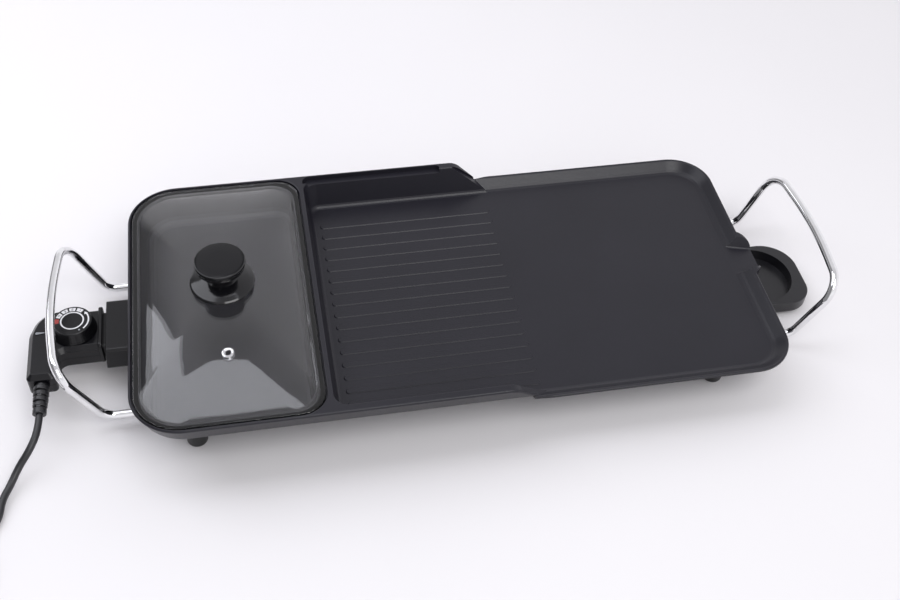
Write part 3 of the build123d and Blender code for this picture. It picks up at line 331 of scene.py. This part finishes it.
def ring_part(name, r0, r1, a0, a1, z0, z1, mat, centre=(DX, DY), body="dial"):
    """Flat ring or part of one, angles in degrees from +X, counter-clockwise."""
    full = a1 - a0 >= 359.9
    steps = max(3, int((a1 - a0) / 4.0))
    bm = bmesh.new()
    cols = []
    for k in range(steps if full else steps + 1):
        a = math.radians(a0 + (a1 - a0) * k / steps)
        c, sn = math.cos(a), math.sin(a)
        cols.append([bm.verts.new(P(centre[0] + r * c, centre[1] + r * sn, z)) for r, z in ((r0, z0), (r1, z0), (r1, z1), (r0, z1))])
    pairs = list(zip(cols, cols[1:])) + ([(cols[-1], cols[0])] if full else [])
    for p, q in pairs:
        for i in range(4):
            j = (i + 1) % 4
            bm.faces.new((p[i], q[i], q[j], p[j]))
    if not full:
        bm.faces.new(cols[0])
        bm.faces.new(list(reversed(cols[-1])))
    bmesh.ops.recalc_face_normals(bm, faces=bm.faces)
    me = bpy.data.meshes.new(name)
    bm.to_mesh(me)
    bm.free()
    me.materials.append(mat)
    ob = bpy.data.objects.new(name, me)
    bpy.context.scene.collection.objects.link(ob)
    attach(ob, body)
    return ob


def stroke_digit(name, number, cx, cy, turn, size):
    """A plain seven-segment figure lying flat on the dial."""
    seg = {"1": "bc", "2": "abged", "3": "abgcd", "4": "fgbc"}[number]
    w, h, t = size * 0.55, size, size * 0.17
    bars = {"a": (0, h / 2, w, t), "g": (0, 0, w, t), "d": (0, -h / 2, w, t), "b": (w / 2, h / 4, t, h / 2 + t), "c": (w / 2, -h / 4, t, h / 2 + t),
            "f": (-w / 2, h / 4, t, h / 2 + t), "e": (-w / 2, -h / 4, t, h / 2 + t)}
    bm = bmesh.new()
    ca, sa = math.cos(turn), math.sin(turn)
    lift = 0.0
    for s_name in seg:
        bx, by, bw, bh = bars[s_name]
        lift += 0.004
        vs = []
        for z in (DZ + 0.09, DZ + 0.125 + lift):
            for ux, uy in ((-1, -1), (1, -1), (1, 1), (-1, 1)):
                x, y = bx + ux * bw / 2, by + uy * bh / 2
                vs.append(bm.verts.new(P(cx + x * ca - y * sa, cy + x * sa + y * ca, z)))
        bm.faces.new((vs[3], vs[2], vs[1], vs[0]))
        bm.faces.new((vs[4], vs[5], vs[6], vs[7]))
        for i in range(4):
            j = (i + 1) % 4
            bm.faces.new((vs[i], vs[j], vs[4 + j], vs[4 + i]))
    bmesh.ops.recalc_face_normals(bm, faces=bm.faces)
    me = bpy.data.meshes.new(name)
    bm.to_mesh(me)
    bm.free()
    me.materials.append(dark_ink)
    ob = bpy.data.objects.new(name, me)
    bpy.context.scene.collection.objects.link(ob)
    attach(ob, "dial")
    return ob


ring_part("dial_ring", 9.35, 10.65, 0, 360, DZ + 0.012, DZ + 0.075, white_ink)
for k, num in enumerate("1234"):
    mid = 61.0 + 29.0 * k
    ring_part(f"dial_box_{num}", 11.75, 15.5, mid - 11.6, mid + 11.6, DZ + 0.012, DZ + 0.085, white_ink)
    am = math.radians(mid)
    stroke_digit(f"dial_figure_{num}", num, DX + 13.6 * math.cos(am), DY + 13.6 * math.sin(am), am - math.pi / 2, 2.1)
ring_part("dial_off_mark", 11.75, 15.5, 165.5, 188.5, DZ + 0.012, DZ + 0.085, red_ink)
ring_part("dial_arc", 14.0, 15.3, -46, 31, DZ + 0.012, DZ + 0.08, white_ink)
tip, wing = math.radians(41.5), math.radians(29.5)
prism("dial_arrow", [(DX + 14.65 * math.cos(tip), DY + 14.65 * math.sin(tip)), (DX + 12.4 * math.cos(wing), DY + 12.4 * math.sin(wing)),
                     (DX + 15.95 * math.cos(wing), DY + 15.95 * math.sin(wing))], DZ + 0.012, DZ + 0.082, white_ink, "dial")
ring_part("dial_dot", 12.9, 14.6, -64.5, -58.0, DZ + 0.012, DZ + 0.08, grey_ink)
PY = POINTER_Y
prism("housing_pointer", [(-385.0, PY - 1.45), (-377.7, PY - 0.45), (-376.9, PY), (-377.7, PY + 0.45), (-385.0, PY + 1.45), (-385.8, PY)],
      49.115, 49.16, grey_ink, "controller")

# ------------------------------------------------------------------ floor and light
fm, nt, bs = new_mat("floor_paper")
v = coords(nt)
n1 = noise(nt, v, 1.3, 3.0)
nt.links.new(ramp(nt, n1.outputs["Fac"], [(0.3, (0.785, 0.770, 0.780)), (0.7, (0.810, 0.795, 0.805))]), bs.inputs["Base Color"])
bs.inputs["Roughness"].default_value = 0.75
bs.inputs["Specular IOR Level"].default_value = 0.2
me = bpy.data.meshes.new("floor")
bm = bmesh.new()
bmesh.ops.create_grid(bm, x_segments=1, y_segments=1, size=5.0)
bm.to_mesh(me)
bm.free()
floor = bpy.data.objects.new("floor", me)
bpy.context.scene.collection.objects.link(floor)
me.materials.append(fm)


def area(name, loc, target, size, power, color=(1, 1, 1)):
    ld = bpy.data.lights.new(name, "AREA")
    ld.shape = "RECTANGLE"
    ld.size, ld.size_y = size
    ld.energy = power
    ld.color = color
    ob = bpy.data.objects.new(name, ld)
    bpy.context.scene.collection.objects.link(ob)
    d = Vector(target) - Vector(loc)
    ob.location = loc
    ob.rotation_euler = d.to_track_quat("-Z", "Y").to_euler()
    return ob


w = bpy.data.worlds.new("studio")
bpy.context.scene.world = w
w.use_nodes = True
wt = w.node_tree
bg = wt.nodes["Background"]
wc = wt.nodes.new("ShaderNodeTexCoord")
wx = wt.nodes.new("ShaderNodeSeparateXYZ")
wt.links.new(wc.outputs["Generated"], wx.inputs["Vector"])
wr = wt.nodes.new("ShaderNodeValToRGB")
wr.color_ramp.interpolation = "EASE"
stops = [(0.0, 0.62), (0.40, 0.61), (0.60, 0.50), (1.0, 0.40)]
while len(wr.color_ramp.elements) < len(stops):
    wr.color_ramp.elements.new(0.5)
for e, (pos, val) in zip(wr.color_ramp.elements, stops):
    e.position = pos
    e.color = (val * 0.970, val * 0.962, val, 1)
wt.links.new(wx.outputs["Z"], wr.inputs["Fac"])
# the left side of the room is dark, so what leans to the left stays dark
wl = wt.nodes.new("ShaderNodeMapRange")
wl.interpolation_type = "SMOOTHSTEP"
for key, val in (("From Min", -0.62), ("From Max", -0.30), ("To Min", 0.28), ("To Max", 1.0)):
    wl.inputs[key].default_value = val
wt.links.new(wx.outputs["X"], wl.inputs["Value"])
wm = wt.nodes.new("ShaderNodeMix")
wm.data_type = "RGBA"
wm.blend_type = "MULTIPLY"
wm.inputs[0].default_value = 1.0
wt.links.new(wr.outputs["Color"], wm.inputs[6])
wt.links.new(wl.outputs["Result"], wm.inputs[7])
wt.links.new(wm.outputs[2], bg.inputs["Color"])
bg.inputs["Strength"].default_value = 1.66


def card(name, pts, z, strength):
    """Flat glowing panel over the set, seen only as a reflection and as a light."""
    em = bpy.data.materials.new(name)
    em.use_nodes = True
    ent = em.node_tree
    ent.nodes.clear()
    eo = ent.nodes.new("ShaderNodeOutputMaterial")
    ee = ent.nodes.new("ShaderNodeEmission")
    ee.inputs["Color"].default_value = (0.93, 0.94, 1.0, 1)
    ee.inputs["Strength"].default_value = strength
    ent.links.new(ee.outputs["Emission"], eo.inputs["Surface"])
    cm = bpy.data.meshes.new(name)
    cb = bmesh.new()
    vs = [cb.verts.new((x + SX, y, z)) for x, y in pts]
    cb.faces.new(vs)
    cb.to_mesh(cm)
    cb.free()
    cm.materials.append(em)
    ob = bpy.data.objects.new(name, cm)
    bpy.context.scene.collection.objects.link(ob)
    ob.visible_camera = False
    return ob


card("key_card", [(-0.63, 0.60), (-0.91, 1.18), (-2.17, 2.24), (-2.6, 1.2), (-1.6, -0.1), (-0.2, -0.1), (0.35, 0.0), (0.12, 0.27), (-0.28, 0.61)],
     1.58, 2.9)
area("overhead", (0.5, -1.3, 2.2), (0, 0, 0), (1.4, 1.2), 24)
sc = bpy.context.scene
sc.view_settings.view_transform = "Standard"
sc.view_settings.look = "None"
sc.view_settings.exposure = 0.0
